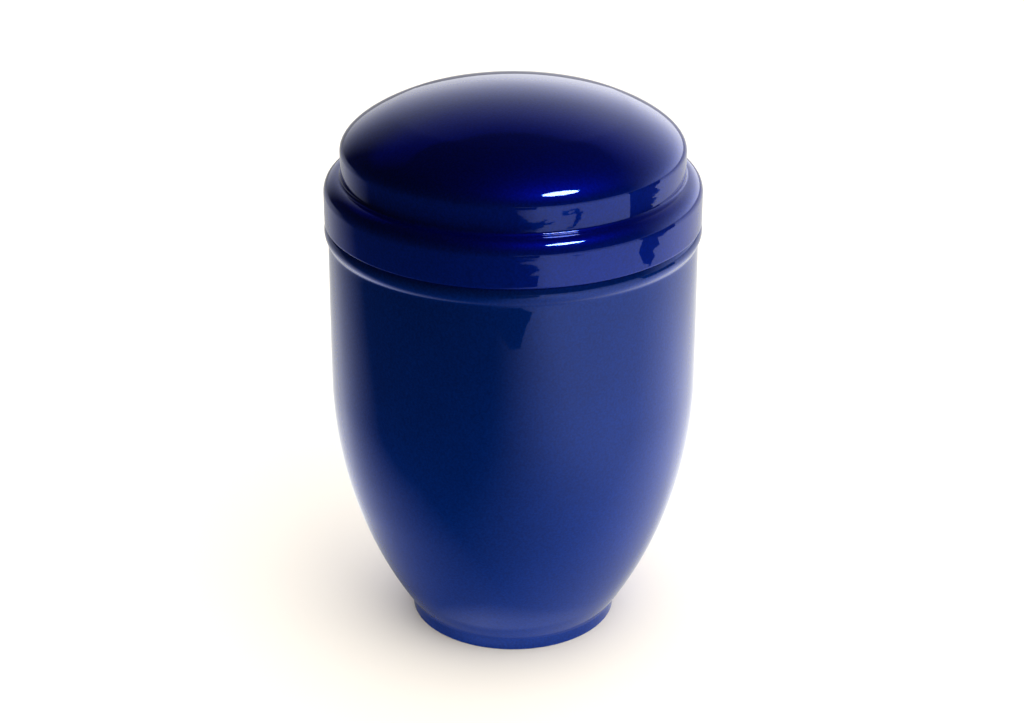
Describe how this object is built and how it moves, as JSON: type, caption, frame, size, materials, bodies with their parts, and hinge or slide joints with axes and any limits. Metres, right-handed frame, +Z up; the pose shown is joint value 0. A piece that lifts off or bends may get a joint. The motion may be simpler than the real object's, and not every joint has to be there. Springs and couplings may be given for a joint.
{
  "type": "funeral urn",
  "caption": "Tall metal cremation urn in deep blue lacquer, tapering to a short foot, with a stepped, domed lid that slips over the neck and rests on a bead.",
  "frame": {"origin": "middle of the foot's underside, on the surface that the urn stands on", "axes": "+Z up along the axis of the urn, through the top of the lid; the urn is round, so +X and +Y are alike"},
  "size_m": [0.1904, 0.1904, 0.2894],
  "materials": {
    "blue_lacquer": "high gloss clear coat over deep metallic blue"
  },
  "bodies": {
    "root": {"urn_body": "blue_lacquer", "urn_lid": "blue_lacquer"}
  },
  "joints": []
}
